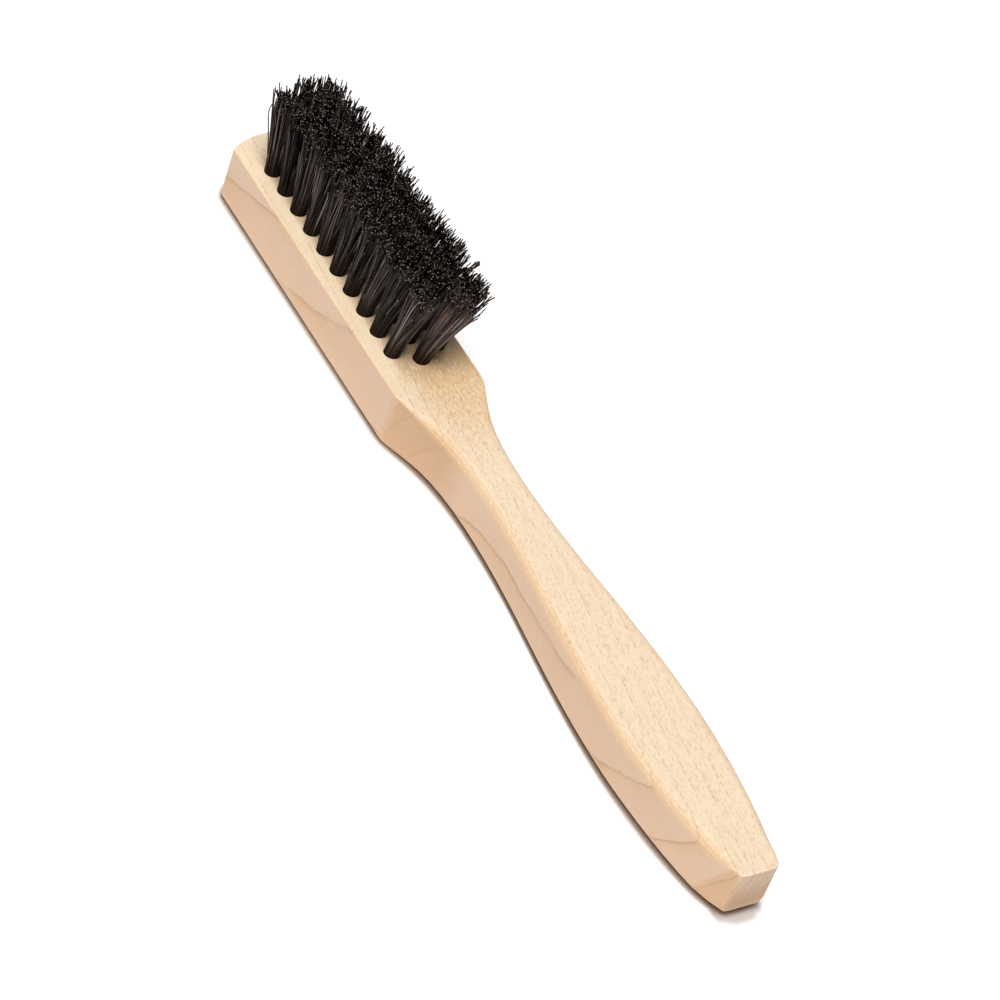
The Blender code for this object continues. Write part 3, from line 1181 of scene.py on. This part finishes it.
    def mesh(self, row: Row, number: int, chance: np.random.Generator) -> bpy.types.Mesh:
        """Mesh of one tuft, with each hair's shade and its run from 0 at the wood to 1 at the tip.

        Args:
            row: the row.
            number: from 1, at the nose.
            chance: source of random numbers.

        Returns:
            The new mesh.
        """
        mouth = self.plan.mouth(row, number)
        rings = self.tube_rings(self.paths(self.lean(row, number), chance)) + np.array(mouth)
        levels = len(rings)
        made = bpy.data.meshes.new(f"hairs_{row.label(number)}")
        made.from_pydata(rings.reshape(-1, 3), [], self.faces(levels))
        made.shade_smooth()
        inside = levels - 1 - len(self.heights)
        run = np.concatenate([np.zeros(inside), self.heights, [self.cut_run]])
        shade = chance.uniform(size=self.hairs) ** self.shade_power(mouth)
        shades = np.broadcast_to(shade, (levels, self.hairs))
        self.store(made, "hair_run", np.repeat(run, self.hairs * self.sides))
        self.store(made, "hair_shade", np.repeat(shades.ravel(), self.sides))
        made.update()
        return made

    def shade_power(self, mouth: Vector) -> float:
        """Power for the random shades: below 1 in the last tufts, whose hair is lighter and redder.

        Args:
            mouth: middle of the hole's mouth.

        Returns:
            The power.
        """
        place = (mouth.x - self.plan.middle.x) / self.plan.half_length
        return 1.0 - self.last_tufts_warmth * max(0.0, place) ** self.warmth_power

    @staticmethod
    def store(mesh: bpy.types.Mesh, name: str, values: np.ndarray) -> None:
        """Keep a number for each point of a mesh."""
        kept = mesh.attributes.new(name, "FLOAT", "POINT")
        kept.data.foreach_set("value", values.astype(np.float32))

    def build(self, bristle: BristleFinish) -> None:
        """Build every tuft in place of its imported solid.

        Args:
            bristle: finish of the hairs.
        """
        finish = bristle.material()
        chance = np.random.default_rng(self.seed)
        for row in Row:
            for number in range(1, row.count + 1):
                mesh = self.mesh(row, number, chance)
                piece = new_piece(mesh.name, mesh, finish)
                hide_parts(f"tuft_{row.label(number)}")


@dataclass
class Anchors:
    """The flat wires that hold the tufts.

    The middle row's packed ones are hidden together with their tufts, so that row's are made here.
    """

    plan: HolePlan

    def build(self, wire: AnchorWireFinish) -> None:
        """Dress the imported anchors, and set a like one in each hole of the middle row.

        Args:
            wire: finish of the anchors.
        """
        finish = wire.material()
        for row in (Row.LEFT, Row.RIGHT):
            for number in range(1, row.count + 1):
                dress_node(f"anchor_{row.label(number)}", finish)
        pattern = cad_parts[f"anchor_{Row.LEFT.label(1)}"].data
        start = self.plan.mouth(Row.LEFT, 1)
        for number in range(1, Row.MIDDLE.count + 1):
            mesh = pattern.copy()
            mesh.materials.clear()
            way = self.plan.mouth(Row.MIDDLE, number) - start
            for point in mesh.vertices:
                point.co += way
            new_piece(f"anchor_{Row.MIDDLE.label(number)}", mesh, finish)


@dataclass
class Studio:
    """A white floor, soft light from above and the camera."""

    floor_half: float = 3.0
    sky_light: float = 0.12
    lamp_strength: float = 2.95
    lamp_way: Triple = (0.24, -0.30, 1.0)
    lamp_angle: float = math.radians(30)
    lens: float = 144.0
    azimuth: float = math.radians(45.96)
    elevation: float = math.radians(43.12)
    roll: float = math.radians(21.26)
    distance: float = 0.7811
    target: Triple = (-0.00417, 0.00657, 0.0)

    def build_floor(self, finish: FloorFinish) -> None:
        """Lay the floor under the brush.

        Args:
            finish: its finish.
        """
        half = self.floor_half
        mesh = bpy.data.meshes.new("floor")
        corners = [(-half, -half, 0), (half, -half, 0), (half, half, 0), (-half, half, 0)]
        mesh.from_pydata(corners, [], [(0, 1, 2, 3)])
        mesh.materials.append(finish.material())
        floor = bpy.data.objects.new("floor", mesh)
        bpy.context.scene.collection.objects.link(floor)

    def build_sky(self) -> None:
        """Light all round at a plain level, which looks white in itself and in reflections."""
        graph = Graph(bpy.data.worlds.new("studio"), "Background")
        rays = [f"Is {kind} Ray" for kind in ("Camera", "Glossy", "Transmission")]
        camera, glossy, through = [graph.node("ShaderNodeLightPath", output=ray) for ray in rays]
        seen = graph.maths("MAXIMUM", graph.maths("MAXIMUM", camera, glossy), through)
        strength = seen.spanning(self.sky_light, 1.0)
        bpy.context.scene.world = graph.shade(Color=(1.0, 1.0, 1.0), Strength=strength)

    def build_lamp(self) -> None:
        """One soft lamp, high above and a little towards the camera."""
        lamp = bpy.data.lights.new("lamp", "SUN")
        lamp.energy = self.lamp_strength
        lamp.angle = self.lamp_angle
        holder = bpy.data.objects.new("lamp", lamp)
        holder.rotation_euler = Vector(self.lamp_way).to_track_quat("Z", "Y").to_euler()
        bpy.context.scene.collection.objects.link(holder)

    def build_camera(self) -> None:
        """Put the camera where the photograph was taken from."""
        data = bpy.data.cameras.new("camera")
        data.lens = self.lens
        camera = bpy.data.objects.new("camera", data)
        level = math.cos(self.elevation)
        east, south = math.sin(self.azimuth) * level, math.cos(self.azimuth) * level
        back = Vector((east, -south, math.sin(self.elevation)))
        camera.location = Vector(self.target) + back * self.distance
        turn = back.to_track_quat("Z", "Y") @ Quaternion((0, 0, 1), self.roll)
        camera.rotation_euler = turn.to_euler()
        bpy.context.scene.collection.objects.link(camera)
        bpy.context.scene.camera = camera

    def build(self, floor: FloorFinish) -> None:
        """Build the floor, the lights and the camera.

        Args:
            floor: finish of the floor.
        """
        self.build_floor(floor)
        self.build_sky()
        self.build_lamp()
        self.build_camera()
        bpy.context.scene.view_settings.view_transform = "Standard"


def main() -> None:
    """Dress the block, build the anchors and the tufts, and set up the studio."""
    logging.basicConfig(level=logging.INFO, format="%(name)s %(message)s")
    plan = HolePlan()
    Block().dress(MapleFinish())
    Anchors(plan).build(AnchorWireFinish())
    TuftField(plan).build(BristleFinish())
    Studio().build(FloorFinish())


if __name__ == "__main__":
    main()
